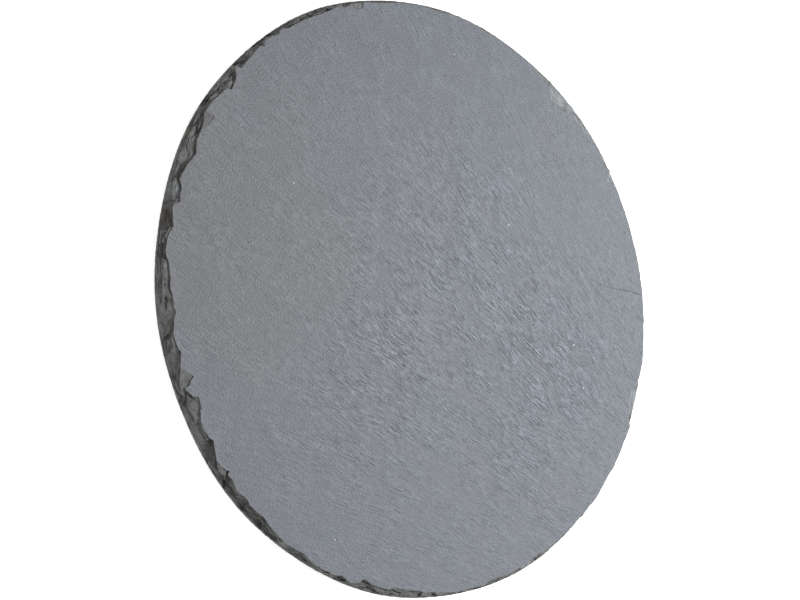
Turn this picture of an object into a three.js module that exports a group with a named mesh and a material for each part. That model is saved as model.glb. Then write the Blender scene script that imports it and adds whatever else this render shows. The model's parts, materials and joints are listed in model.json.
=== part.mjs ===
// A round serving slab of natural slate, split along its cleavage and dressed by hand round the rim.
// Units are millimetres, +Z is up, and the origin is the middle of the underside.
import * as THREE from "three";
import { mergeVertices } from "three/addons/utils/BufferGeometryUtils.js";

// Driving dimensions.
const DIAMETER = 300;
const THICKNESS = 5;

// The rim was trimmed to a circle by eye, so it swells a little. Each row is a wave: how many swells it has
// round the rim, the place of one of them in degrees, and their height.
const RIM_WAVES = [
  [10, 102, 0.3],
  [3, -19, 0.2],
];
const WAVES_HEIGHT = RIM_WAVES.reduce((sum, [, , height]) => sum + height, 0);
const RIM_RADIUS = DIAMETER / 2 - WAVES_HEIGHT;
const RIM_STEPS = 540;

// The broken rim in section, from the underside up. Each row is a height, and how far in from the rim it
// lies, as a share of the way to the face edge: a low square foot, a hollow scar, then a steep step.
const RIM_SECTION = [
  [0, 0],
  [0.9, 0],
  [2.1, 0.42],
  [4.2, 0.86],
  [THICKNESS, 1],
];

// The ragged edge where the scars of the hammer blows meet the face. Each pair is a place round the rim, in
// degrees from +X towards +Y, and how far in from the mean rim circle the face ends there.
const FACE_EDGE = [
  [0, 4.4], [6, 4.4], [13, 4.2], [15.2, 4.6], [16, 7.5], [16.7, 8.7], [17.4, 6.9], [17.9, 4.6],
  [20.8, 6.5], [21.4, 5.4], [22.5, 4.0], [27, 4.4], [28, 6.0], [29.5, 6.8], [32.6, 6.4],
  [34.5, 9.2], [37, 11.2], [39.3, 11.3], [40.2, 9.6], [41.3, 5.2], [47, 4.8], [48, 3.6], [54, 3.6],
  [57, 3.1], [60, 3.4], [63, 2.9], [66, 3.2], [69, 2.6], [72, 3.2], [75, 2.4], [81, 2.2], [87, 2.6],
  [93.3, 1.6], [95.2, 3.0], [97, 1.8], [99.2, 2.5], [102, 2.8], [105.5, 2.4], [109.8, 2.7],
  [110.4, 1.6], [111.5, 1.4], [112.1, 2.6], [114.5, 1.5], [115.9, 1.6], [116.7, 3.4], [117.1, 1.9],
  [119.4, 2.7], [121.5, 3.4], [123.8, 3.8], [124.2, 0.7], [125.1, 3.5], [126, 5.3], [128.3, 7.0],
  [128.9, 4.6], [131.5, 3.4], [133, 2.8], [135.8, 2.5], [137.4, 4.3], [138.4, 4.8], [141, 5.0],
  [142.2, 6.1], [143.7, 7.5], [146.5, 5.3], [149.5, 3.9], [151.2, 6.1], [152, 5.9], [153.7, 7.1],
  [154.2, 4.2], [155.2, 3.8], [158.4, 5.6], [160.5, 3.6], [163.3, 2.8], [165.4, 5.0], [168, 5.7],
  [169.8, 5.4], [171, 6.4], [173.3, 6.7], [174.2, 7.6], [175.4, 6.2], [178, 4.5], [180.8, 5.4],
  [181.5, 6.6], [184.5, 4.1], [186.4, 2.4], [187.2, 2.2], [188.8, 4.4], [190.2, 6.3], [190.9, 8.0],
  [192.3, 7.4], [194.4, 5.1], [195.6, 4.4], [198, 5.0], [198.8, 6.4], [200.5, 4.6], [202.2, 2.6],
  [203.4, 2.9], [204.9, 4.4], [205.1, 6.2], [205.5, 3.5], [206.5, 3.9], [209, 2.4], [211, 3.7],
  [212, 3.7], [212.4, 2.8], [215, 3.3], [216.1, 3.9], [218.2, 2.7], [222.4, 1.4], [226.8, 2.6],
  [229.3, 1.3], [232, 0.8], [235.5, 1.5], [236.1, 2.4], [238.4, 0.7], [240.1, 2.4], [241.2, 4.5],
  [243.5, 2.9], [247.4, 2.5], [247.9, 3.9], [253.5, 3.5], [259.2, 2.7], [263.5, 1.6], [265.3, 2.6],
  [270, 1.7], [271, 3.2], [273.2, 3.4], [276.5, 2.2], [278, 3.1], [280.5, 2.8], [283.5, 3.5],
  [285.5, 3.4], [287, 2.6], [295, 2.9], [305, 2.0], [310, 2.4], [315, 2.0], [318, 2.4], [322, 1.8],
  [324, 5.2], [327, 7.2], [329.5, 7.6], [330.3, 5.8], [333, 3.4], [337, 2.8], [346, 3.5],
  [350, 3.3], [358, 4.3], [360, 4.4],
];

// The radius of the trimmed rim at an angle in radians.
function rimRadius(angle) {
  return RIM_WAVES.reduce(
    (radius, [count, place, height]) =>
      radius + height * Math.cos(count * (angle - THREE.MathUtils.degToRad(place))),
    RIM_RADIUS,
  );
}

// The radius of the face edge, which runs straight from each of its points to the next.
function edgeRadius(angle) {
  const degrees = (THREE.MathUtils.radToDeg(angle) + 360) % 360;
  const next = FACE_EDGE.findIndex(([place]) => place > degrees);
  const [startPlace, startInset] = FACE_EDGE[next - 1];
  const [endPlace, endInset] = FACE_EDGE[next];
  const along = (degrees - startPlace) / (endPlace - startPlace);
  return RIM_RADIUS - THREE.MathUtils.lerp(startInset, endInset, along);
}

// A drum with one row of points for each height of the rim section is drawn in to the broken rim's shape.
function makeSlab() {
  const drum = new THREE.CylinderGeometry(1, 1, 1, RIM_STEPS, RIM_SECTION.length - 1);
  drum.rotateX(Math.PI / 2);
  drum.translate(0, 0, 0.5);
  drum.deleteAttribute("normal");
  drum.deleteAttribute("uv");
  const slab = mergeVertices(drum, 1e-5);
  const points = slab.getAttribute("position");
  for (let i = 0; i < points.count; i++) {
    const x = points.getX(i);
    const y = points.getY(i);
    const angle = Math.atan2(y, x);
    const [height, inward] = RIM_SECTION[Math.round(points.getZ(i) * (RIM_SECTION.length - 1))];
    const radius = THREE.MathUtils.lerp(rimRadius(angle), edgeRadius(angle), inward);
    points.setXYZ(i, x * radius, y * radius, height);
  }
  const faceted = slab.toNonIndexed();
  faceted.computeVertexNormals();
  return faceted;
}

const slate = new THREE.MeshStandardMaterial({
  name: "slate",
  color: 0x888b92,
  roughness: 0.75,
  metalness: 0,
});

const slab = new THREE.Mesh(makeSlab(), slate);
slab.name = "slate_slab";

const part = new THREE.Group();
part.add(slab);

export default part;
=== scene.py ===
# %% [markdown]
# # A round serving slab of natural slate
# The real thing is one piece of stone, thirty centimetres across and five millimetres thick. A
# quarryman splits it off a block along the cleavage, and then breaks its rim to a circle with a
# hammer. So it has three kinds of surface: a cleft face with a fine grain, a broken rim, and a
# cleft underside that nobody sees. It is built in the same order here: first the cleft face, then
# the broken rim, then small damage and finish.

# %% Open the frame
import json
import math

import bpy
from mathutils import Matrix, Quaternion, Vector, noise

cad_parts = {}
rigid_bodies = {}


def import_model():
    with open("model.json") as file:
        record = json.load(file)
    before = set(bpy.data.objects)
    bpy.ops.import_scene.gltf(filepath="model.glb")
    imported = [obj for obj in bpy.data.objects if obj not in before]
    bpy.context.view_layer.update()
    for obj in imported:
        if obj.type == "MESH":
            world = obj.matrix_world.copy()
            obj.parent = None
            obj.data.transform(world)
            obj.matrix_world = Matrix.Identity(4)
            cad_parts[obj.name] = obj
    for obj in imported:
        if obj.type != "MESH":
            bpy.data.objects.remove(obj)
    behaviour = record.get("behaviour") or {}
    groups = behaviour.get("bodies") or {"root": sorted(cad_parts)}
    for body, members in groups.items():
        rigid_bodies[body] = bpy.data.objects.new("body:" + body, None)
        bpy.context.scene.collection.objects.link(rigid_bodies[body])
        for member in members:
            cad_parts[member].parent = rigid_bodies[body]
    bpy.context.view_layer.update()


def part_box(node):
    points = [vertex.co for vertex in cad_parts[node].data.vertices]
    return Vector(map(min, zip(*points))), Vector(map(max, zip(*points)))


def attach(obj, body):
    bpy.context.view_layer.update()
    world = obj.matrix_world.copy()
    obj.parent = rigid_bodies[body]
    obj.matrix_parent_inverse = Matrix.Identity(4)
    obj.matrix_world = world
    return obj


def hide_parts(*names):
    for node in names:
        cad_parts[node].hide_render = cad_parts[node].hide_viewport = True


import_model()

MM = 0.001
slab_low, slab_high = (Vector(corner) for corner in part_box("slate_slab"))
thickness = slab_high.z - slab_low.z
print("slab in the frame:", [round(side / MM, 2) for side in slab_high - slab_low], "mm")

# %% [markdown]
# ## Helpers for working by hand
# An operator acts on everything that is selected, so each step starts from an empty selection and
# then selects the one thing that it works on. Three small jobs come up again and again: apply the
# modifiers of a piece, put away a helper object, and give an open sheet a body below it, so that a
# cut can use it as a solid.


# %% Selecting and applying
def work_on(piece):
    """Makes the piece the only selected and active object."""
    bpy.ops.object.select_all(action="DESELECT")
    piece.select_set(True)
    bpy.context.view_layer.objects.active = piece


def apply_modifiers(piece):
    """Applies the piece's modifiers in their order."""
    work_on(piece)
    for name in [modifier.name for modifier in piece.modifiers]:
        bpy.ops.object.modifier_apply(modifier=name)


def remove(piece):
    """Puts away a helper object that has done its work."""
    bpy.data.objects.remove(piece)


def give_body(sheet, depth):
    """Draws the sheet's border straight down and closes it below."""
    work_on(sheet)
    bpy.ops.object.mode_set(mode="EDIT")
    bpy.ops.mesh.select_all(action="SELECT")
    bpy.ops.mesh.region_to_loop()
    bpy.ops.mesh.extrude_edges_move(TRANSFORM_OT_translate={"value": (0, 0, -depth)})
    bpy.ops.mesh.edge_face_add()
    bpy.ops.object.mode_set(mode="OBJECT")
    face_outwards(sheet)


def face_outwards(piece):
    """Turns all the faces of a closed piece outwards."""
    work_on(piece)
    bpy.ops.object.mode_set(mode="EDIT")
    bpy.ops.mesh.select_all(action="SELECT")
    bpy.ops.mesh.normals_make_consistent(inside=False)
    bpy.ops.object.mode_set(mode="OBJECT")


bpy.ops.object.select_all(action="DESELECT")

# %% [markdown]
# ## The grain of the stone
# Slate splits with a fine grain of ribs and hairlines that all run one way. On this slab they fan
# out a little, as if from a point far beyond the rim. A grid is laid with its rows along the grain,
# given its relief while the grain is still straight, and then bent in its own plane so that the
# rows become a fan. Bending after the relief is simpler than drawing curved ribs.

# %% Sizes of the grain
GRAIN_FOCUS = Vector((300, -335, 0)) * MM
SHEET_SIZE = 312 * MM
STEP_ACROSS = 0.85 * MM
STEP_ALONG = 2.1 * MM
FACE_LEVEL = thickness - 0.13 * MM
focus_distance = GRAIN_FOCUS.length
grain_heading = math.atan2(GRAIN_FOCUS.y, GRAIN_FOCUS.x)
print("the grain fans from a point", round(focus_distance / MM), "mm from the middle")


# %% Layers of relief
NOISE_PATCH = (0.37, 0.11, 0.05)


def add_relief(piece, name, height, across, along, group=""):
    """Adds one layer of natural relief: its height, and its lumps' size across and along the grain."""
    ruler = bpy.data.objects.new(name + " ruler", None)
    bpy.context.collection.objects.link(ruler)
    ruler.scale = (across * MM, along * MM, across * MM)
    ruler.location = NOISE_PATCH
    texture = bpy.data.textures.new(name, "CLOUDS")
    texture.noise_scale = 1.0
    relief = piece.modifiers.new(name, "DISPLACE")
    relief.texture = texture
    relief.texture_coords = "OBJECT"
    relief.texture_coords_object = ruler
    relief.direction = "Z"
    relief.strength = height * MM
    relief.mid_level = 0.5
    relief.vertex_group = group
    bpy.context.view_layer.update()
    apply_modifiers(piece)
    remove(ruler)


# %% The cleft sheet
bpy.ops.mesh.primitive_grid_add(
    x_subdivisions=round(SHEET_SIZE / STEP_ACROSS),
    y_subdivisions=round(SHEET_SIZE / STEP_ALONG),
    size=SHEET_SIZE,
    location=(0, 0, 0),
)
slab = bpy.context.object
slab.name = "slate_stone"
slab.data.name = "slate_stone"
print("cleft sheet:", len(slab.data.polygons), "faces")

# %% [markdown]
# The ribs stand out more over the middle and towards one side, where the split ran roughest. A
# vertex group says how much: it is full in the rough spots and fades away from them. The slow waves
# are the same everywhere.


# %% Where the face is rough
def place_in_sheet(point):
    """Where a point of the finished slab lies on the sheet while its grain is still straight."""
    from_focus = point - GRAIN_FOCUS
    turn = math.atan2(from_focus.y, from_focus.x) - (grain_heading + math.pi)
    return Vector((turn * focus_distance, focus_distance - from_focus.length, 0))


# Each row is the middle of a rough spot, its reach, and how much rougher it is.
ROUGH_SPOTS = [
    (Vector((80, -46, 0)) * MM, 42 * MM, 0.65),
    (Vector((12, -6, 0)) * MM, 54 * MM, 0.5),
    (Vector((42, 42, 0)) * MM, 30 * MM, 0.25),
    (Vector((-40, -42, 0)) * MM, 34 * MM, 0.35),
    (Vector((42, -90, 0)) * MM, 30 * MM, 0.4),
]
SMOOTH_SHARE = 0.3

rough = slab.vertex_groups.new(name="rough")
spots = [(place_in_sheet(middle), reach, share) for middle, reach, share in ROUGH_SPOTS]
for vertex in slab.data.vertices:
    roughness = SMOOTH_SHARE
    for middle, reach, share in spots:
        roughness += share * math.exp(-(((vertex.co - middle).length / reach) ** 2))
    rough.add([vertex.index], min(1.0, roughness), "REPLACE")
print("rough spots:", len(spots), "- elsewhere the ribs have", SMOOTH_SHARE, "of their height")

# %% Relief of the face
# Each row is a layer: its name, its height, its lumps' size across and along the grain, in
# millimetres, and the vertex group that it fades with.
FACE_RELIEF = [
    ("slow waves", 0.12, 20, 46, ""),
    ("long ribs", 0.12, 2.4, 19, "rough"),
    ("short ribs", 0.11, 1.7, 9, "rough"),
]
for layer in FACE_RELIEF:
    add_relief(slab, *layer)
heights = [vertex.co.z / MM for vertex in slab.data.vertices]
print("face relief from", round(min(heights), 3), "to", round(max(heights), 3), "mm")

# %% Bend the grain into its fan and turn it into place
bend = slab.modifiers.new("fan", "SIMPLE_DEFORM")
bend.deform_method = "BEND"
bend.deform_axis = "Z"
bend.angle = SHEET_SIZE / focus_distance
apply_modifiers(slab)
slab.rotation_euler.z = grain_heading - math.pi / 2
slab.location.z = FACE_LEVEL
bpy.ops.object.transform_apply(location=True, rotation=True, scale=True)
give_body(slab, 2 * thickness)
print("cleft body:", [round(side / MM, 1) for side in slab.dimensions], "mm")

# %% [markdown]
# ## The broken rim
# Each hammer blow knocks a flake off the upper edge and leaves a scar: a steep little step down
# from the face, then a floor, then a rough wall down to a low foot. The scars meet in sharp corners
# and leave tongues of the face between them. In plan the rim needs two lines: the trimmed outline,
# which swells a little, and the ragged line where the scars meet the face.

# %% Outline of the rim
DIAMETER = 300 * MM
RIM_STEPS = 1200

# Each row is a wave of the trimmed rim: swells round the rim, the place of one in degrees, height.
RIM_WAVES = [
    (10, 102, 0.3 * MM),
    (3, -19, 0.2 * MM),
]
rim_middle = DIAMETER / 2 - sum(height for _, _, height in RIM_WAVES)


def rim_radius(degrees):
    """Radius of the trimmed rim."""
    waves = (
        height * math.cos(math.radians(count * (degrees - place)))
        for count, place, height in RIM_WAVES
    )
    return rim_middle + sum(waves)


print("mean rim radius", round(rim_middle / MM, 1), "mm")

# %% Where the scars meet the face
# Each pair is a place round the rim in degrees, and how many millimetres in from the mean rim
# the face ends.
FACE_EDGE = [
    (0, 4.4), (6, 4.4), (13, 4.2), (15.2, 4.6), (16, 7.5), (16.7, 8.7), (17.4, 6.9), (17.9, 4.6),
    (20.8, 6.5), (21.4, 5.4), (22.5, 4.0), (27, 4.4), (28, 6.0), (29.5, 6.8), (32.6, 6.4),
    (34.5, 9.2), (37, 11.2), (39.3, 11.3), (40.2, 9.6), (41.3, 5.2), (47, 4.8), (48, 3.6), (54, 3.6),
    (57, 3.1), (60, 3.4), (63, 2.9), (66, 3.2), (69, 2.6), (72, 3.2), (75, 2.4), (81, 2.2), (87, 2.6),
    (93.3, 1.6), (95.2, 3.0), (97, 1.8), (99.2, 2.5), (102, 2.8), (105.5, 2.4), (109.8, 2.7),
    (110.4, 1.6), (111.5, 1.4), (112.1, 2.6), (114.5, 1.5), (115.9, 1.6), (116.7, 3.4), (117.1, 1.9),
    (119.4, 2.7), (121.5, 3.4), (123.8, 3.8), (124.2, 0.7), (125.1, 3.5), (126, 5.3), (128.3, 7.0),
    (128.9, 4.6), (131.5, 3.4), (133, 2.8), (135.8, 2.5), (137.4, 4.3), (138.4, 4.8), (141, 5.0),
    (142.2, 6.1), (143.7, 7.5), (146.5, 5.3), (149.5, 3.9), (151.2, 6.1), (152, 5.9), (153.7, 7.1),
    (154.2, 4.2), (155.2, 3.8), (158.4, 5.6), (160.5, 3.6), (163.3, 2.8), (165.4, 5.0), (168, 5.7),
    (169.8, 5.4), (171, 6.4), (173.3, 6.7), (174.2, 7.6), (175.4, 6.2), (178, 4.5), (180.8, 5.4),
    (181.5, 6.6), (184.5, 4.1), (186.4, 2.4), (187.2, 2.2), (188.8, 4.4), (190.2, 6.3), (190.9, 8.0),
    (192.3, 7.4), (194.4, 5.1), (195.6, 4.4), (198, 5.0), (198.8, 6.4), (200.5, 4.6), (202.2, 2.6),
    (203.4, 2.9), (204.9, 4.4), (205.1, 6.2), (205.5, 3.5), (206.5, 3.9), (209, 2.4), (211, 3.7),
    (212, 3.7), (212.4, 2.8), (215, 3.3), (216.1, 3.9), (218.2, 2.7), (222.4, 1.4), (226.8, 2.6),
    (229.3, 1.3), (232, 0.8), (235.5, 1.5), (236.1, 2.4), (238.4, 0.7), (240.1, 2.4), (241.2, 4.5),
    (243.5, 2.9), (247.4, 2.5), (247.9, 3.9), (253.5, 3.5), (259.2, 2.7), (263.5, 1.6), (265.3, 2.6),
    (270, 1.7), (271, 3.2), (273.2, 3.4), (276.5, 2.2), (278, 3.1), (280.5, 2.8), (283.5, 3.5),
    (285.5, 3.4), (287, 2.6), (295, 2.9), (305, 2.0), (310, 2.4), (315, 2.0), (318, 2.4), (322, 1.8),
    (324, 5.2), (327, 7.2), (329.5, 7.6), (330.3, 5.8), (333, 3.4), (337, 2.8), (346, 3.5),
    (350, 3.3), (358, 4.3), (360, 4.4),
]


def read_rows(rows, place):
    """Reads the values at a place off rows of (place, value, ...), evenly from row to row."""
    for start, end in zip(rows, rows[1:]):
        if place <= end[0]:
            share = (place - start[0]) / (end[0] - start[0])
            return [low + (high - low) * share for low, high in zip(start[1:], end[1:])]
    return list(rows[-1][1:])


deepest = max(inset for _, inset in FACE_EDGE)
print("the face edge has", len(FACE_EDGE), "corners, the deepest", deepest, "mm in")

# %% [markdown]
# In section a scar is told by four numbers. A shelf has a deep step, a long and nearly level floor,
# and then a wall. A facet has a floor that slopes evenly nearly to the rim. A diagonal wall has a
# very deep step. Where one scar ends and the next begins, two rows stand close together, and that
# leaves a sharp ridge between them.

# %% Section of each scar
# Each row is a place in degrees, then the step down from the face in millimetres, how far out the
# floor reaches as a share of the way to the rim, how many millimetres the floor falls, and how
# rough the scar is.
SCARS = [
    (0, 0.2, 0.75, 2.9, 0.2), (14.8, 0.2, 0.75, 2.9, 0.2), (15.2, 0.15, 0.55, 0.9, 0.1),
    (17.9, 0.15, 0.55, 0.9, 0.1), (18.4, 0.2, 0.75, 2.9, 0.2), (19.2, 0.15, 0.7, 1.5, 0.2),
    (21.4, 0.15, 0.7, 1.5, 0.2), (22, 0.2, 0.75, 2.9, 0.2), (26.8, 0.2, 0.75, 2.9, 0.2),
    (27.2, 0.15, 0.6, 1.3, 0.15), (33, 0.15, 0.6, 1.3, 0.15), (33.5, 0.15, 0.78, 1.7, 0.1),
    (41, 0.15, 0.78, 1.7, 0.1), (41.6, 0.2, 0.75, 2.6, 0.3), (47, 0.2, 0.7, 2.6, 0.2),
    (62, 0.2, 0.7, 2.5, 0.2), (76, 0.2, 0.8, 2.8, 0.4), (88, 0.3, 0.9, 3.0, 0.8),
    (97, 0.4, 0.8, 2.6, 0.8), (102, 0.7, 0.5, 0.8, 0.8),
    (103.5, 1.4, 0.6, 1.2, 0.8), (104, 0.6, 0.6, 1.0, 0.8), (106.5, 0.5, 0.7, 1.0, 0.6),
    (108, 0.8, 0.7, 1.5, 0.8), (111.9, 0.6, 0.6, 0.6, 0.8), (112.2, 1.2, 0.8, 2.2, 0.8),
    (116.6, 1.3, 0.8, 2.2, 0.8), (116.9, 1.6, 0.8, 1.8, 0.8), (118.9, 1.2, 0.8, 1.8, 0.8),
    (119.2, 0.6, 0.8, 1.6, 0.4), (120.1, 0.6, 0.8, 1.6, 0.4), (120.4, 1.1, 0.7, 1.6, 0.8),
    (123.8, 0.9, 0.7, 1.6, 0.8), (124.2, 0.4, 0.6, 1.0, 0.4), (124.6, 1.5, 0.5, 0.7, 0.4),
    (128.2, 0.6, 0.4, 0.2, 0.4), (128.7, 0.6, 0.4, 0.3, 0.4), (129, 0.9, 0.7, 1.4, 0.6),
    (132.6, 0.8, 0.7, 1.4, 0.6), (133, 1.5, 0.6, 1.0, 0.8), (135.6, 0.9, 0.7, 1.3, 0.6),
    (136, 1.2, 0.75, 0.5, 0.4), (139.4, 1.1, 0.75, 0.6, 0.4), (141.8, 0.9, 0.7, 0.5, 0.3),
    (142.1, 0.9, 0.8, 1.0, 0.15), (145.3, 0.8, 0.85, 1.5, 0.15), (145.7, 0.9, 0.6, 0.8, 0.5),
    (149.9, 0.9, 0.6, 0.8, 0.5), (150.2, 0.7, 0.6, 0.3, 0.2), (153.8, 0.8, 0.6, 0.3, 0.2),
    (154.1, 0.5, 0.3, 0.4, 0.8), (155, 1.2, 0.4, 0.8, 0.8), (158.8, 0.9, 0.5, 0.9, 0.8),
    (159.2, 0.5, 0.65, 0.5, 0.4), (161.6, 0.5, 0.65, 0.5, 0.4), (162, 1.2, 0.5, 1.2, 0.8),
    (164.7, 1.2, 0.5, 1.2, 0.8), (165, 0.7, 0.6, 0.25, 0.2), (170.7, 0.7, 0.6, 0.25, 0.2),
    (171, 0.5, 0.7, 1.0, 0.4), (173.2, 0.4, 0.88, 2.5, 0.15), (174, 0.8, 0.92, 2.9, 0.1),
    (177.3, 0.8, 0.92, 2.9, 0.1), (177.7, 1.7, 0.9, 2.0, 0.5), (178.2, 0.5, 0.7, 1.0, 0.3),
    (180.9, 0.5, 0.7, 1.0, 0.3), (181.2, 0.7, 0.94, 3.0, 0.05), (186.2, 0.7, 0.94, 3.0, 0.05),
    (186.6, 0.4, 0.5, 0.4, 0.3), (187.4, 0.4, 0.5, 0.4, 0.3), (188, 1.0, 0.5, 0.5, 0.4),
    (190, 1.0, 0.6, 0.8, 0.4), (190.5, 0.4, 0.55, 0.25, 0.2), (192.2, 0.6, 0.55, 0.5, 0.2),
    (194.5, 0.8, 0.55, 0.8, 0.3), (194.8, 0.8, 0.92, 2.9, 0.1), (198.4, 0.8, 0.92, 2.9, 0.1),
    (198.9, 2.4, 0.6, 0.9, 0.2), (201.8, 2.4, 0.6, 0.9, 0.2), (202.4, 0.6, 0.65, 0.6, 0.5),
    (205, 0.6, 0.65, 0.6, 0.5), (205.2, 1.6, 0.6, 1.2, 0.8), (206.5, 1.2, 0.7, 1.6, 0.8),
    (216, 1.2, 0.7, 1.6, 0.8), (216.3, 1.6, 0.7, 1.5, 0.8), (221.9, 1.2, 0.8, 1.8, 0.7),
    (222.2, 0.5, 0.7, 1.0, 0.4), (225, 0.5, 0.7, 1.2, 0.4), (225.3, 1.0, 0.8, 1.8, 0.7),
    (235.4, 1.2, 0.8, 1.8, 0.7), (235.6, 1.5, 0.8, 1.5, 0.7), (238.5, 1.2, 0.8, 1.6, 0.7),
    (238.8, 0.3, 0.45, 0.3, 0.3), (240.6, 0.3, 0.45, 0.3, 0.3), (240.9, 0.9, 0.6, 0.8, 0.7),
    (246, 0.9, 0.6, 0.8, 0.7), (246.2, 1.4, 0.6, 0.9, 0.9), (247.5, 1.2, 0.6, 0.9, 0.9),
    (247.8, 0.4, 0.6, 0.5, 0.6), (251, 0.4, 0.65, 0.6, 0.6), (253, 0.4, 0.8, 1.6, 0.8),
    (262, 0.5, 0.85, 2.2, 0.9), (279.3, 0.3, 0.9, 2.8, 0.8), (279.6, 0.2, 0.7, 1.2, 0.2),
    (282.1, 0.2, 0.7, 1.2, 0.2), (282.5, 1.6, 0.7, 1.5, 0.7), (285, 1.4, 0.7, 1.5, 0.7),
    (285.4, 0.3, 0.9, 2.8, 0.5), (323.4, 0.2, 0.75, 2.9, 0.2), (324, 0.15, 0.65, 1.3, 0.1),
    (331.8, 0.15, 0.65, 1.3, 0.1), (332.6, 0.2, 0.8, 2.9, 0.3), (360, 0.2, 0.75, 2.9, 0.2),
]
# Height of the foot of the wall, and width of the step at the face edge, in millimetres.
FOOT_HEIGHT = 0.9
STEP_WIDTH = 0.42


def scar_height(degrees, share, band):
    """Height of a scar in millimetres, a share of the way in across its band, and its roughness."""
    step, reach, fall, roughness = read_rows(SCARS, degrees)
    top = thickness / MM
    floor_start = FACE_LEVEL / MM - step
    step_foot = 1 - STEP_WIDTH / band
    section = [(0, FOOT_HEIGHT), (1 - reach, floor_start - fall), (step_foot, floor_start), (1, top)]
    return read_rows(section, share)[0], roughness


print("the scars are told by", len(SCARS), "sections")

# %% [markdown]
# Stone is never as plain as its section. Slate breaks in layers that lie parallel to the face, so a
# wall is a flight of small ledges. And a blow loosens several thin flakes, longer along the rim
# than across it, each of which leaves its own small tilted facet. Cells of a Voronoi pattern are a
# good match for such flakes. The border between two scars leans to one side on its way down.
# However deep a flake goes, some stone is left under it, or the rim would have a hole right
# through.

# %% Layers and flakes
# Thickness of a layer in millimetres, and where in it the riser starts and how much of it is riser.
LAYER = 0.5
RISER_START = 0.3
RISER_SHARE = 0.4
# A flake's length along the rim, its width and its height, in millimetres, and how much it tips.
FLAKE_LENGTH = 7.0
FLAKE_WIDTH = 2.6
FLAKE_HEIGHT = 1.3
FLAKE_TILT = 1.6
# How far borders lean, in degrees, and the stone that is always left, in millimetres.
SCAR_LEAN = 3.0
LEAST_STONE = 0.4
# How quickly the steps of the layers set in away from a scar's edges, and with its roughness.
LAYERS_SET_IN = 3
LAYERS_SHOW = 1.6


def rumple(x, y, z, size):
    """Smooth natural noise from about -1 to 1, with lumps of the given size."""
    return noise.noise(Vector((x, y, z)) / size)


# Each kind of waver has a height in millimetres, a level in the noise, so that no two kinds
# match, and a size of its lumps. A drift is how far the level moves on across the band.
WARP, WARP_NOISE = 0.3, (7, 5)
FINE_WARP, FINE_WARP_NOISE = 0.1, (31, 1.2)
BEND_ALONG, BEND_ALONG_NOISE = 2.2, (3, 4)
BEND_INWARD, BEND_INWARD_NOISE = 0.6, (9, 2.5)
LEAN_NOISE = (77, 16)
SWELL, SWELL_DRIFT, SWELL_SIZE = 0.25, 4, 6
CRUMB, CRUMB_DRIFT, CRUMB_SIZE = 0.12, 9, 1.6
FOOT_WAVER, FOOT_NOISE = 0.35, (51, 2.5)
RAGGED, RAGGED_DRIFT, RAGGED_LEVEL, RAGGED_SIZE = 0.1, 3, 40, 0.9
# These numbers draw a flake's two tilts and its lift from the place of its cell.
TILT_ALONG_DRAW, TILT_INWARD_DRAW, LIFT_DRAW = 17.3, 29.1, 11.7


def step_in_layers(height, x, y):
    """Breaks a slope into ledges, one for each layer of the stone."""
    warp = WARP * rumple(x, y, *WARP_NOISE) + FINE_WARP * rumple(x, y, *FINE_WARP_NOISE)
    level = (height + warp) / LAYER
    tread = level - math.floor(level)
    rise = min(1, max(0, (tread - RISER_START) / RISER_SHARE))
    return (math.floor(level) + rise) * LAYER - warp


def flake_lift(along, inward):
    """How far a flake's facet stands above or below the scar, as a share of the flake's height."""
    bent_along = along + BEND_ALONG * rumple(along, inward, *BEND_ALONG_NOISE)
    bent_inward = inward + BEND_INWARD * rumple(along, inward, *BEND_INWARD_NOISE)
    place = Vector((bent_along / FLAKE_LENGTH, bent_inward / FLAKE_WIDTH, 0))
    _, centres = noise.voronoi(place)
    from_middle = place - centres[0]
    tilt_along = noise.cell(centres[0] * TILT_ALONG_DRAW) - 0.5
    tilt_inward = noise.cell(centres[0] * TILT_INWARD_DRAW) - 0.5
    lift = noise.cell(centres[0] * LIFT_DRAW) - 0.5
    return lift + FLAKE_TILT * (tilt_along * from_middle.x + tilt_inward * from_middle.y)


def scar_point(degrees, share):
    """A point of the rim surface, at a place round the rim and a share of the way in to the face."""
    angle = math.radians(degrees)
    outer = rim_radius(degrees)
    inner = rim_middle - read_rows(FACE_EDGE, degrees)[0] * MM
    x, y = outer / MM * math.cos(angle), outer / MM * math.sin(angle)
    band = (outer - inner) / MM
    lean = SCAR_LEAN * (1 - share) * rumple(x, y, *LEAN_NOISE)
    height, roughness = scar_height(min(360, max(0, degrees + lean)), share, band)
    # The share of the middle is 1 halfway across the band and 0 at both its edges.
    middle = min(1, 4 * share * (1 - share))
    height += middle * roughness * FLAKE_HEIGHT * flake_lift(angle * outer / MM, band * share)
    swell = SWELL * rumple(x, y, SWELL_DRIFT * share, SWELL_SIZE)
    crumb = CRUMB * rumple(x, y, CRUMB_DRIFT * share, CRUMB_SIZE)
    height += middle * (swell + crumb)
    height += FOOT_WAVER * (1 - share) ** 3 * rumple(x, y, *FOOT_NOISE)
    if share < 1:
        stepped = min(1, LAYERS_SET_IN * middle) * min(1, LAYERS_SHOW * roughness)
        height += stepped * (step_in_layers(height, x, y) - height)
    ragged = RAGGED + RAGGED * roughness
    ragged *= rumple(x, y, RAGGED_DRIFT * share + RAGGED_LEVEL, RAGGED_SIZE)
    radius = outer + (inner - outer) * share + ragged * MM
    height = min(max(height, LEAST_STONE) * MM, thickness)
    return Vector((radius * math.cos(angle), radius * math.sin(angle), height))


print("a scar in mm:", [round(scar_point(168, share / 4).z / MM, 2) for share in range(5)])

# %% [markdown]
# The rim form is raised ring by ring from a circle, as one would stack slices. Each ring is then
# drawn in to its line of the scars. The form has a straight side above the face, so that it cuts
# the cleft body right through.

# %% Raise the rim ring by ring
RING_COUNT = 28
RING_RISE = 1 * MM

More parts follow.
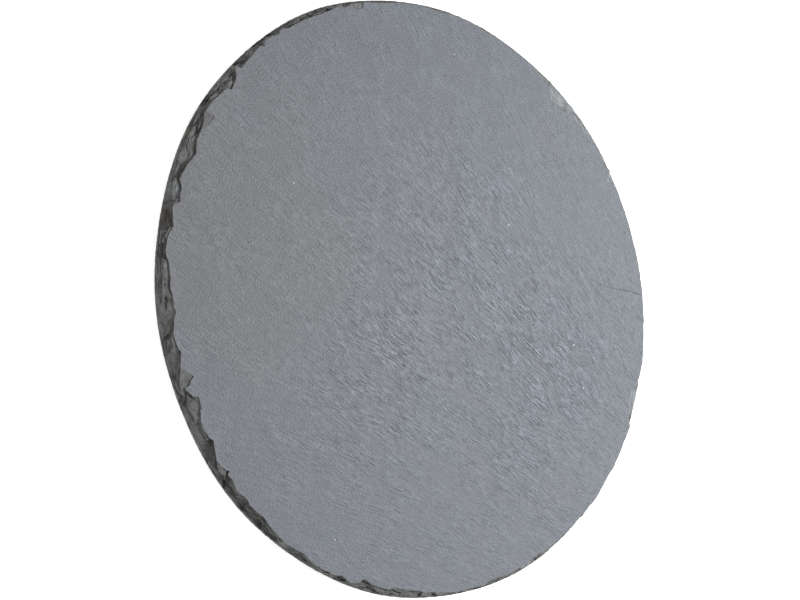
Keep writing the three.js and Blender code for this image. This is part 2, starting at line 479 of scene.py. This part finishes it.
bpy.ops.object.select_all(action="DESELECT")
bpy.ops.mesh.primitive_circle_add(
    vertices=RIM_STEPS, radius=DIAMETER / 2, fill_type="NGON", location=(0, 0, 0)
)
rim_form = bpy.context.object
rim_form.name = "rim form"
bpy.ops.object.mode_set(mode="EDIT")
bpy.ops.mesh.select_all(action="SELECT")
for _ in range(RING_COUNT + 2):
    bpy.ops.mesh.extrude_region_move(TRANSFORM_OT_translate={"value": (0, 0, RING_RISE)})
bpy.ops.object.mode_set(mode="OBJECT")
print("rim form:", len(rim_form.data.polygons), "faces")

# %% Draw the rings in to the scars
for vertex in rim_form.data.vertices:
    ring = round(vertex.co.z / RING_RISE)
    degrees = math.degrees(math.atan2(vertex.co.y, vertex.co.x)) % 360
    share = min(1, max(0, (ring - 1) / RING_COUNT))
    vertex.co = scar_point(degrees, share)
    if ring == 0:
        vertex.co.z = -thickness
    elif ring == RING_COUNT + 2:
        vertex.co.z = 2 * thickness
face_outwards(rim_form)
reaches = [vertex.co.xy.length / MM for vertex in rim_form.data.vertices]
print("the rings lie from", round(min(reaches), 1), "to", round(max(reaches), 1), "mm from the middle")

# %% [markdown]
# The underside is a cleft face too, but nobody sees it, so slow waves are enough and no ribs are
# needed. It is a second, coarser sheet: a bed that the slab is cut down on to.

# %% The bed under the slab
BED_STEP = 2.8 * MM
BED_LEVEL = 0.04 * MM

bpy.ops.object.select_all(action="DESELECT")
bed_steps = round(SHEET_SIZE / BED_STEP)
bpy.ops.mesh.primitive_grid_add(x_subdivisions=bed_steps, y_subdivisions=bed_steps, size=SHEET_SIZE)
bed = bpy.context.object
bed.name = "bed"
add_relief(bed, "underside waves", 0.1, 14, 40)
bed.rotation_euler.z = grain_heading - math.pi / 2
bed.location.z = BED_LEVEL
bpy.ops.object.transform_apply(location=True, rotation=True, scale=True)
give_body(bed, 3 * thickness)
print("bed:", len(bed.data.polygons), "faces")

# %% [markdown]
# ## Cutting the slab to shape
# A cut can bring the cutting form's own material on to the new surface. So each form gets its
# material before the cut: the rim form the broken one, the bed the cleft one. Nothing has to be
# picked out by hand afterwards.

# %% Two surfaces, and a cut
cleft = bpy.data.materials.new("cleft slate")
broken = bpy.data.materials.new("broken slate")


def cut(piece, form, surface, operation="DIFFERENCE"):
    """Cuts the piece with the form, gives the new surface its material, and puts the form away."""
    form.data.materials.append(surface)
    boolean = piece.modifiers.new("cut", "BOOLEAN")
    boolean.operation = operation
    boolean.object = form
    boolean.solver = "MANIFOLD"
    boolean.material_mode = "TRANSFER"
    apply_modifiers(piece)
    remove(form)


slab.data.materials.append(cleft)
cut(slab, rim_form, broken, operation="INTERSECT")
cut(slab, bed, cleft)
print("slab:", len(slab.data.polygons), "faces")

# %% [markdown]
# ## Small damage
# Here and there a thin layer has come off the face beside a scar and left a shallow ledge. Its
# outline is a circle with as many points as the ledge has corners, moved to their places and raised
# to a low form. The hairline crack and the one scratch are cut with long thin cones, and the pits
# with flattened balls.


# %% Shallow ledges
def on_slab(degrees, radius):
    """A point of the slab at a place round it and a distance from the middle in millimetres."""
    angle = math.radians(degrees)
    return Vector((radius * math.cos(angle), radius * math.sin(angle), 0)) * MM


# Each ledge is a row of corners: a place in degrees, a radius, and how deep the ledge lies there,
# in millimetres.
LEDGES = [
    [(186.5, 139.9, 0.4), (185.6, 142.2, 0.1), (184.6, 144.6, 0.05), (184.4, 148, 0.1),
     (188, 148.5, 0.5), (187.9, 143.8, 0.5), (187.2, 142.4, 0.45)],
    [(190.4, 141, 0.35), (192.6, 141.8, 0.3), (193, 144, 0.3), (192.4, 146.8, 0.35),
     (190.4, 146.8, 0.35), (189.9, 143.4, 0.35)],
    [(138.5, 144.6, 0.1), (137.8, 143.3, 0.15), (137, 142.6, 0.2), (136.3, 142.1, 0.2),
     (135.5, 142, 0.2), (134.9, 142.4, 0.15), (135.2, 144.5, 0.15), (135.6, 148.5, 0.15),
     (138.6, 146.5, 0.1)],
    [(93.5, 145.6, 0.25), (92.4, 144.6, 0.25), (91.2, 145.3, 0.25), (90.8, 151, 0.25),
     (93.6, 151, 0.25)],
    [(47.2, 145.2, 0.1), (44.5, 143.9, 0.2), (42, 143.6, 0.2), (40.6, 145, 0.2), (40.8, 150, 0.2),
     (47.4, 150, 0.2)],
]
LEDGE_CUTS = 5


def cut_ledge(corners):
    """Takes a thin layer off the slab inside the corners."""
    bpy.ops.object.select_all(action="DESELECT")
    bpy.ops.mesh.primitive_circle_add(
        vertices=len(corners), radius=5 * MM, fill_type="NGON", location=(0, 0, 0)
    )
    form = bpy.context.object
    for vertex, (degrees, radius, depth) in zip(form.data.vertices, corners):
        vertex.co = on_slab(degrees, radius)
        vertex.co.z = FACE_LEVEL - depth * MM
    bpy.ops.object.mode_set(mode="EDIT")
    bpy.ops.mesh.select_all(action="SELECT")
    bpy.ops.mesh.extrude_region_move(TRANSFORM_OT_translate={"value": (0, 0, thickness)})
    bpy.ops.mesh.select_all(action="SELECT")
    bpy.ops.mesh.quads_convert_to_tris()
    bpy.ops.mesh.subdivide(number_cuts=LEDGE_CUTS)
    bpy.ops.object.mode_set(mode="OBJECT")
    face_outwards(form)
    cut(slab, form, broken)


for corners in LEDGES:
    cut_ledge(corners)
print("after", len(LEDGES), "ledges:", len(slab.data.polygons), "faces")

# %% Hairline crack and scratch
# Each row is a line in millimetres and its width at both ends.
LINES = [
    ([(108, -9), (116, -13.5), (125, -17.2), (135, -20.5), (146.5, -24.8)], 0.1, 0.34),
    ([(57, -34.5), (60.5, -38.5), (63, -41.5)], 0.3, 0.16),
]
# A groove is this many times as deep as half its width. Its legs reach this far into each other.
GROOVE_DEPTH = 1.6
LEG_OVERLAP = 0.05 * MM


def cut_line(points, first_width, last_width):
    """Cuts a fine groove that follows the points and widens evenly."""
    legs = len(points) - 1
    for leg, (start, end) in enumerate(zip(points, points[1:])):
        start, end = (Vector((*point, 0)) * MM for point in (start, end))
        widths = [first_width + (last_width - first_width) * share / legs for share in (leg, leg + 1)]
        run = end - start
        middle = (start + end) / 2
        bpy.ops.object.select_all(action="DESELECT")
        bpy.ops.mesh.primitive_cone_add(
            vertices=4,
            radius1=widths[0] / 2 * MM,
            radius2=widths[1] / 2 * MM,
            depth=run.length + LEG_OVERLAP,
            location=(middle.x, middle.y, FACE_LEVEL),
            rotation=(0, math.pi / 2, math.atan2(run.y, run.x)),
            scale=(GROOVE_DEPTH, 1, 1),
        )
        cut(slab, bpy.context.object, broken)


for points, first_width, last_width in LINES:
    cut_line(points, first_width, last_width)
print("after", len(LINES), "lines:", len(slab.data.polygons), "faces")

# %% Pits
# Each row is a place on the face in millimetres, then the pit's length along the grain and its width.
PITS = [(-22.5, -32, 2.6, 1.1), (47.5, 116.3, 1.5, 1.1), (-96, 40, 1.0, 0.7), (14, 71, 1.2, 0.7)]
# The ball is a millimetre across before it is stretched, and its middle lies just above the face.
PIT_BALL = 0.5 * MM
PIT_FLATNESS = 0.5
PIT_LIFT = 0.02 * MM
for x, y, length, width in PITS:
    bpy.ops.object.select_all(action="DESELECT")
    bpy.ops.mesh.primitive_ico_sphere_add(
        subdivisions=2,
        radius=PIT_BALL,
        location=(x * MM, y * MM, FACE_LEVEL + PIT_LIFT),
        rotation=(0, 0, grain_heading),
        scale=(length, width, PIT_FLATNESS),
    )
    cut(slab, bpy.context.object, broken)
print("after the pits:", len(slab.data.polygons), "faces")

# %% [markdown]
# Where two cuts all but touch, they leave slivers: faces far too thin to see, which still spoil the
# shading and any later work on the mesh. Finding them by hand would take a day. A clean-up operator
# dissolves every one that is thinner than a set width, and the surface stays closed.

# %% Dissolve the slivers
SLIVER = 0.0001 * MM

work_on(slab)
bpy.ops.object.mode_set(mode="EDIT")
bpy.ops.mesh.select_all(action="SELECT")
bpy.ops.mesh.dissolve_degenerate(threshold=SLIVER)
bpy.ops.object.mode_set(mode="OBJECT")
print("without slivers:", len(slab.data.polygons), "faces")

# %% [markdown]
# The ribs of the face are soft, and the corners of the rim are sharp. Smooth shading all over would
# wash the corners out, and flat shading would show every facet of the ribs. So only faces that meet
# at a small angle are shaded as one.

# %% Shading
CREASE = math.radians(22)
work_on(slab)
bpy.ops.object.shade_smooth_by_angle(angle=CREASE)
print("faces that meet at more than", round(math.degrees(CREASE)), "degrees keep their edge")

# %% [markdown]
# ## The look of the stone
# Both surfaces are the same stone, and both get a node material of a few layers of noise. The
# helpers below keep the node trees short to read: each one adds a node, feeds it, and hands back
# its output.


# %% Node helpers
def wire(tree, value, socket):
    """Feeds a socket from another node's output, or sets it to a plain value."""
    if isinstance(value, bpy.types.NodeSocket):
        tree.links.new(value, socket)
    else:
        socket.default_value = value


def vector_step(tree, operation, *values):
    """One step of vector arithmetic."""
    node = tree.nodes.new("ShaderNodeVectorMath")
    node.operation = operation
    for value, socket in zip(values, node.inputs):
        wire(tree, value, socket)
    return node.outputs["Value" if operation in ("LENGTH", "DISTANCE", "DOT_PRODUCT") else "Vector"]


def math_step(tree, operation, *values):
    """One step of plain arithmetic."""
    node = tree.nodes.new("ShaderNodeMath")
    node.operation = operation
    for value, socket in zip(values, node.inputs):
        wire(tree, value, socket)
    return node.outputs["Value"]


def weighted_sum(tree, *terms):
    """Adds up (share, value) pairs."""
    total = 0.0
    for share, value in terms:
        total = math_step(tree, "MULTIPLY_ADD", value, share, total)
    return total


def lumps(tree, place, size, detail=2.0, roughness=0.5):
    """Natural noise from 0 to 1, with lumps of the given size in millimetres in each direction."""
    scaled = vector_step(tree, "MULTIPLY", place, tuple(1 / (side * MM) for side in size))
    node = tree.nodes.new("ShaderNodeTexNoise")
    node.inputs["Scale"].default_value = 1.0
    node.inputs["Detail"].default_value = detail
    node.inputs["Roughness"].default_value = roughness
    tree.links.new(scaled, node.inputs["Vector"])
    return node.outputs["Fac"]


def spread(tree, value, low, high, new_low=0.0, new_high=1.0):
    """Stretches a range of values over another range, smoothly, and holds it at both ends."""
    node = tree.nodes.new("ShaderNodeMapRange")
    node.interpolation_type = "SMOOTHSTEP"
    ends = {"From Min": low, "From Max": high, "To Min": new_low, "To Max": new_high}
    for name, number in ends.items():
        wire(tree, number, node.inputs[name])
    wire(tree, value, node.inputs["Value"])
    return node.outputs["Result"]


# A mix node lists its sockets for numbers, vectors and colours together. These are the colour ones.
MIX_FIRST, MIX_SECOND, MIX_RESULT = 6, 7, 2


def blend(tree, share, first, second, kind="MIX"):
    """Mixes two colours."""
    node = tree.nodes.new("ShaderNodeMix")
    node.data_type = "RGBA"
    node.blend_type = kind
    wire(tree, share, node.inputs["Factor"])
    wire(tree, first, node.inputs[MIX_FIRST])
    wire(tree, second, node.inputs[MIX_SECOND])
    return node.outputs[MIX_RESULT]


def near(tree, place, middle, reach, core=0.0):
    """A share that is 1 at the middle and falls to 0 at the reach."""
    return spread(tree, vector_step(tree, "DISTANCE", place, tuple(middle)), core, reach, 1.0, 0.0)


def roughen(tree, shader, height, distance):
    """Gives the shader a fine relief from a height between 0 and 1."""
    bump = tree.nodes.new("ShaderNodeBump")
    bump.inputs["Strength"].default_value = 1.0
    bump.inputs["Distance"].default_value = distance
    wire(tree, height, bump.inputs["Height"])
    wire(tree, bump.outputs["Normal"], shader.inputs["Normal"])


# %% [markdown]
# ### The cleft surface
# The split face is blue-grey and nearly even, a little warmer towards one side. Close up it is
# gritty, and over the grit run short wavering ribs, finer lines between them, and the edges of thin
# torn layers. They are strong in the rough spots and faint elsewhere. Most of them are too fine for
# the mesh, so they are painted, and given a fine relief in the shader. They follow the fan of the
# grain, so their noise reads the angle about the far point and the distance to it. The paint holds
# their light and shade as well: a painted highlight on each crest and painted shade in each trough.
# The rough spots are painted a little lighter, to make up for the shade that their relief casts.


# %% Places along the grain
WAVER_SIZE = (16, 16, 16)
WAVER_REACH = 3.5 * MM


def grain_place(tree, place):
    """Distance across the grain, distance along it, and height. The grain wavers a little."""
    from_focus = vector_step(tree, "SUBTRACT", place, tuple(GRAIN_FOCUS))
    parts = tree.nodes.new("ShaderNodeSeparateXYZ")
    tree.links.new(from_focus, parts.inputs[0])
    turn = math_step(tree, "ARCTAN2", parts.outputs["Y"], parts.outputs["X"])
    waver = math_step(tree, "MULTIPLY", lumps(tree, place, WAVER_SIZE), WAVER_REACH)
    across = math_step(tree, "MULTIPLY_ADD", turn, focus_distance, waver)
    along = vector_step(tree, "LENGTH", from_focus)
    joined = tree.nodes.new("ShaderNodeCombineXYZ")
    for source, socket in zip((across, along, parts.outputs["Z"]), joined.inputs):
        tree.links.new(source, socket)
    return joined.outputs["Vector"]


# %% Mica flecks
# Each row is a place on the face in millimetres and the size of a bright fleck.
FLECKS = [
    (61.3, 26.3, 0.5), (88.8, -41.8, 0.55), (80, -42, 0.3), (89.3, -65, 0.5), (-64.3, 64.3, 0.45),
    (-87.5, 94.8, 0.3), (-82, -105, 0.4), (48.4, 117.2, 0.45),
]
# The small flecks lie in cells of this size. Each cell draws a number, and a high one has a fleck.
FLECK_CELL = 5 * MM
FLECK_DRAW = 7.0
SMALL_FLECK = 0.25


def fleck_share(tree, place):
    """1 on a fleck of mica and 0 elsewhere: the few large ones, and a fine scatter of small ones."""
    flecks = 0.0
    for x, y, size in FLECKS:
        spot = near(tree, place, (x * MM, y * MM, FACE_LEVEL), size * MM, core=size / 2 * MM)
        flecks = math_step(tree, "MAXIMUM", flecks, spot)
    cells = tree.nodes.new("ShaderNodeTexVoronoi")
    cells.inputs["Scale"].default_value = 1 / FLECK_CELL
    tree.links.new(place, cells.inputs["Vector"])
    drawn = math_step(tree, "MULTIPLY", cells.outputs["Color"], FLECK_DRAW)
    chosen = spread(tree, math_step(tree, "FRACT", drawn), 0.6, 0.7)
    small = spread(tree, cells.outputs["Distance"], 0.05, 0.075, SMALL_FLECK, 0.0)
    return math_step(tree, "MAXIMUM", flecks, math_step(tree, "MULTIPLY", small, chosen))


# %% Cleft slate
WARM_GREY = (0.205, 0.209, 0.2277, 1)
COOL_GREY = (0.192, 0.211, 0.240, 1)
MICA = (0.8, 0.82, 0.85, 1)
WARM_MIDDLE = (-95 * MM, 50 * MM, 0)
WARM_REACH = 170 * MM
# Sizes of the lumps in millimetres: across the grain, along it, and in depth.
GRIT = (0.8, 0.95, 0.8)
RIBS = (0.8, 7.5, 0.8)
FINE_RIBS = (0.5, 4, 0.5)
LAYER_FIELD = (4, 45, 4)
PATCHES = (10, 18, 10)
CLOUDS = (45, 45, 45)
# A rough spot fades out at this many times its reach.
SPOT_FADE = 1.8
# Torn layers that the field runs through, and the share of each that rises before it falls away.
TORN_LAYERS = 8.0
TEAR_RISE = 0.2


def paint_cleft(material):
    """The split face and the split underside."""
    material.use_nodes = True
    tree = material.node_tree
    shader = tree.nodes["Principled BSDF"]
    place = tree.nodes.new("ShaderNodeTexCoord").outputs["Object"]
    grain = grain_place(tree, place)

    rough_share = SMOOTH_SHARE
    for middle, reach, share in ROUGH_SPOTS:
        spot = near(tree, place, middle, SPOT_FADE * reach)
        rough_share = math_step(tree, "MULTIPLY_ADD", spot, share, rough_share)
    patches = spread(tree, lumps(tree, grain, PATCHES), 0.35, 0.65, new_low=0.6, new_high=1.4)
    rough_share = math_step(tree, "MULTIPLY", rough_share, patches)

    grit = lumps(tree, grain, GRIT, detail=1)
    ribs = lumps(tree, grain, RIBS)
    fine_ribs = lumps(tree, grain, FINE_RIBS, detail=1)
    field = lumps(tree, grain, LAYER_FIELD, detail=1)
    tread = math_step(tree, "FRACT", math_step(tree, "MULTIPLY", field, TORN_LAYERS))
    fall = 1 / (1 - TEAR_RISE)
    slope = math_step(tree, "MULTIPLY_ADD", tread, -fall, fall)
    tears = math_step(tree, "MINIMUM", math_step(tree, "MULTIPLY", tread, 1 / TEAR_RISE), slope)

    warm = near(tree, place, WARM_MIDDLE, WARM_REACH)
    uneven = math_step(tree, "SUBTRACT", lumps(tree, place, CLOUDS, detail=3), 0.5)
    colour = blend(tree, weighted_sum(tree, (1.0, warm), (0.8, uneven)), COOL_GREY, WARM_GREY)
    # Painted highlight and shade: the ribs' own tone, light on each crest and dark in each trough.
    rib_tone_and_shade = weighted_sum(tree, (0.45, ribs), (0.4, fine_ribs), (0.15, tears))
    rib_tone_and_shade = math_step(tree, "MULTIPLY", math_step(tree, "SUBTRACT", rib_tone_and_shade, 0.5), rough_share)
    tone = weighted_sum(tree, (0.4, grit), (1.6, rib_tone_and_shade))
    shade = spread(tree, tone, -0.05, 0.45, new_low=0.7, new_high=1.3)
    # Painted light: the rough spots are painted lighter, to make up for the shade that their own relief
    # casts.
    light_painted_on_rough = weighted_sum(tree, (1.0, 0.832), (0.34, rough_share))
    shade = math_step(tree, "MULTIPLY", shade, light_painted_on_rough)
    colour = blend(tree, 1.0, colour, shade, "MULTIPLY")
    flecks = fleck_share(tree, place)
    colour = blend(tree, flecks, colour, MICA)
    wire(tree, colour, shader.inputs["Base Color"])
    dullness = spread(tree, grit, 0.3, 0.7, new_low=0.5, new_high=0.7)
    wire(tree, dullness, shader.inputs["Roughness"])

    relief = weighted_sum(tree, (0.75, ribs), (0.7, fine_ribs), (0.12, tears))
    relief = math_step(tree, "MULTIPLY", relief, rough_share)
    roughen(tree, shader, weighted_sum(tree, (1.0, relief), (0.28, grit)), 1.0 * MM)


paint_cleft(cleft)
print("cleft slate:", len(cleft.node_tree.nodes), "nodes")

# %% [markdown]
# ### The broken surface
# A wall shows the ends of the layers, which trap the light, so it is the darkest, with fine pale
# lines of layers round it. Its dark grey is partly painted shade too, the shade that falls on a
# steep wall. A sloping facet is fresh, crushed stone and the palest. A level floor is a cleavage
# plane, a little darker than a facet. All this could be painted by hand, but the steepness of the
# surface already tells the three apart, so the shader reads that. Some scars are bruised pale and
# chalky, and two are stained brown. The far side of the rim, which faces the lamp, is painted paler
# with the same pale spots: painted light.

# %% Stains, bruises and the lit side
# Each row is a place in degrees and a radius, the reach in millimetres, and how strong it is.
# The large spots round the far side, from about 327 to 65 degrees, are painted light: that side of the
# rim faces the lamp. The small spots round the near side are real pale bruises.
PALE_SPOTS_AND_LIT_SIDE = [
    (38, 143, 9, 1.0), (33, 146, 8, 0.9), (29, 146, 7, 0.9), (16.6, 144, 6, 0.8), (20.5, 145.5, 5, 0.7),
    (45, 146.5, 8, 0.5), (54, 147.5, 14, 0.7), (65, 148, 12, 0.6), (10, 147, 16, 0.6),
    (348, 147, 16, 0.6),
    (327.5, 146, 9, 0.9), (281, 147.5, 6, 0.8), (92.4, 147, 4, 0.4), (119.8, 148.3, 2.5, 0.7),
    (129.3, 148.5, 3.5, 0.4), (144.7, 148, 4, 0.6), (142, 148, 3, 0.4), (151.5, 146.5, 4.5, 0.7),
    (147.5, 148.5, 2.5, 0.4), (160.5, 148, 3, 0.3), (170.5, 147.8, 2.5, 0.4), (249, 147.5, 4, 0.4),
    (106, 149, 2.5, 0.4), (223, 149, 4, 0.3),
]
BROWN = [(157, 147.5, 5.5, 0.7), (138.5, 147.5, 6, 0.3)]


def stains_and_lit_spots(tree, place, spots):
    """The share of a stain, a bruise or a spot of painted light, from its list of spots."""
    total = 0.0
    for degrees, radius, reach, strength in spots:
        middle = on_slab(degrees, radius)
        middle.z = thickness / 2
        spot = near(tree, place, middle, reach * MM, core=reach / 2 * MM)
        total = math_step(tree, "MAXIMUM", total, math_step(tree, "MULTIPLY", spot, strength))
    return total


print("bruised spots:", len(PALE_SPOTS_AND_LIT_SIDE), "- brown spots:", len(BROWN))


# %% Broken slate
FACET_GREY = (0.185, 0.187, 0.186, 1)
FLOOR_GREY = (0.150, 0.150, 0.153, 1)
# The dark wall grey is partly the colour of the layer ends and partly painted shade for steep walls.
SHADED_WALL_GREY = (0.055, 0.054, 0.052, 1)
WALL_PALE = (0.170, 0.168, 0.156, 1)
PALE_AND_LIT_GREY = (0.243, 0.260, 0.270, 1)
RUST = (0.075, 0.055, 0.045, 1)
# Sizes of the lumps in millimetres, in plan and in height.
LAYER_LINES = (6, 6, 0.55)
CRUMBS = (0.7, 0.7, 0.4)
BLOTCHES = (5, 5, 2.5)
# How level the surface is where a wall turns into a facet, and a facet into a floor.
WALL_TO_FACET = (0.75, 1.2)
FACET_TO_FLOOR = (1.15, 1.3)
PALE_TAKES = (0.6, 1.1)


def paint_broken(material):
    """The scars round the rim, and the small pits and cracks."""
    material.use_nodes = True
    tree = material.node_tree
    shader = tree.nodes["Principled BSDF"]
    place = tree.nodes.new("ShaderNodeTexCoord").outputs["Object"]
    parts = tree.nodes.new("ShaderNodeSeparateXYZ")
    tree.links.new(tree.nodes.new("ShaderNodeNewGeometry").outputs["Normal"], parts.inputs[0])
    layers = spread(tree, lumps(tree, place, LAYER_LINES), 0.4, 0.62)
    crumbs = lumps(tree, place, CRUMBS, detail=4, roughness=0.7)
    blotches = lumps(tree, place, BLOTCHES, detail=3)
    level = weighted_sum(tree, (1.0, parts.outputs["Z"]), (0.4, blotches), (0.2, crumbs))
    # Steep walls get the dark grey: their own colour and painted shade.
    shaded_wall = blend(tree, layers, SHADED_WALL_GREY, WALL_PALE)
    colour = blend(tree, spread(tree, level, *WALL_TO_FACET), shaded_wall, FACET_GREY)
    colour = blend(tree, spread(tree, level, *FACET_TO_FLOOR), colour, FLOOR_GREY)
    # Pale bruises, and painted light on the far side of the rim.
    pale_and_lit_share = math_step(tree, "MULTIPLY", stains_and_lit_spots(tree, place, PALE_SPOTS_AND_LIT_SIDE), spread(tree, level, *PALE_TAKES))
    colour = blend(tree, pale_and_lit_share, colour, PALE_AND_LIT_GREY)
    rust = math_step(tree, "MULTIPLY", stains_and_lit_spots(tree, place, BROWN), spread(tree, blotches, 0.3, 0.6))
    colour = blend(tree, rust, colour, RUST)
    tone = weighted_sum(tree, (0.1, layers), (0.55, crumbs), (0.35, blotches))
    shade = spread(tree, tone, 0.3, 0.7, new_low=0.55, new_high=1.5)
    colour = blend(tree, 1.0, colour, shade, "MULTIPLY")
    wire(tree, colour, shader.inputs["Base Color"])
    shader.inputs["Roughness"].default_value = 0.75
    roughen(tree, shader, weighted_sum(tree, (0.35, layers), (0.8, crumbs)), 0.5 * MM)


paint_broken(broken)
print("broken slate:", len(broken.node_tree.nodes), "nodes")

# %% [markdown]
# ## Into the frame
# The finished stone takes the place of the plain slab and lies still, so it rides on the only body.

# %% Hand over
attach(slab, "root")
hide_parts("slate_slab")
print("triangles:", sum(len(face.vertices) - 2 for face in slab.data.polygons))

# %% [markdown]
# ## Floor, light and camera
# The slab lies on a plain pale floor. The floor glows evenly, like a light table, so no grey fringe
# of shadow hangs round the thin rim. The room's own light is weak, and one soft lamp stands beyond
# the far side, about as high up as it is far away. It brightens the face from that side and leaves
# the near rim in shade, which brings out the scars and the ribs.

# %% Floor
FLOOR_SIZE = 6
FLOOR_WHITE = (0.93, 0.93, 0.93, 1)
FLOOR_GLOW = 0.7

bpy.ops.object.select_all(action="DESELECT")
bpy.ops.mesh.primitive_plane_add(size=FLOOR_SIZE, location=(0, 0, 0))
floor = bpy.context.object
floor.name = "floor"
paper = bpy.data.materials.new("pale floor")
paper.use_nodes = True
sheet = paper.node_tree.nodes["Principled BSDF"]
sheet.inputs["Base Color"].default_value = FLOOR_WHITE
sheet.inputs["Roughness"].default_value = 0.9
sheet.inputs["Emission Color"].default_value = (1, 1, 1, 1)
sheet.inputs["Emission Strength"].default_value = FLOOR_GLOW
floor.data.materials.append(paper)
print("floor:", FLOOR_SIZE, "m square")

# %% Light
ROOM_LIGHT = 0.34
LAMP_PLACE = (0.69, -0.16, 0.79)
LAMP_SIZE = 0.25
LAMP_WATTS = 11.0

world = bpy.data.worlds.new("studio")
bpy.context.scene.world = world
world.use_nodes = True
room = world.node_tree.nodes["Background"]
room.inputs["Color"].default_value = (1, 1, 1, 1)
room.inputs["Strength"].default_value = ROOM_LIGHT


def add_softbox(name, place, size, watts):
    """A square soft lamp that faces the slab."""
    light = bpy.data.lights.new(name, "AREA")
    light.shape = "SQUARE"
    light.size = size
    light.energy = watts
    lamp = bpy.data.objects.new(name, light)
    bpy.context.collection.objects.link(lamp)
    lamp.location = place
    lamp.rotation_euler = (-Vector(place)).to_track_quat("-Z", "Y").to_euler()


add_softbox("far side lamp", LAMP_PLACE, LAMP_SIZE, LAMP_WATTS)
print("lamp:", round(Vector(LAMP_PLACE).length, 2), "m from the slab,", LAMP_WATTS, "W")

# %% Camera
LOOK_AT = Vector((-13.0, -0.5, 0)) * MM
CAMERA_DISTANCE = 935 * MM
CAMERA_HEIGHT = math.radians(53.55)
CAMERA_ROLL = math.radians(78.54)
CAMERA_LENS = 85

camera_data = bpy.data.cameras.new("camera")
camera_data.lens = CAMERA_LENS
camera = bpy.data.objects.new("camera", camera_data)
bpy.context.collection.objects.link(camera)
towards_camera = Vector((-math.cos(CAMERA_HEIGHT), 0, math.sin(CAMERA_HEIGHT)))
camera.location = LOOK_AT + CAMERA_DISTANCE * towards_camera
camera.rotation_mode = "QUATERNION"
level_view = (-towards_camera).to_track_quat("-Z", "Y")
camera.rotation_quaternion = level_view @ Quaternion((0, 0, 1), CAMERA_ROLL)
bpy.context.scene.camera = camera
bpy.context.scene.view_settings.view_transform = "Standard"
print("camera:", round(CAMERA_DISTANCE, 2), "m away,", CAMERA_LENS, "mm lens")
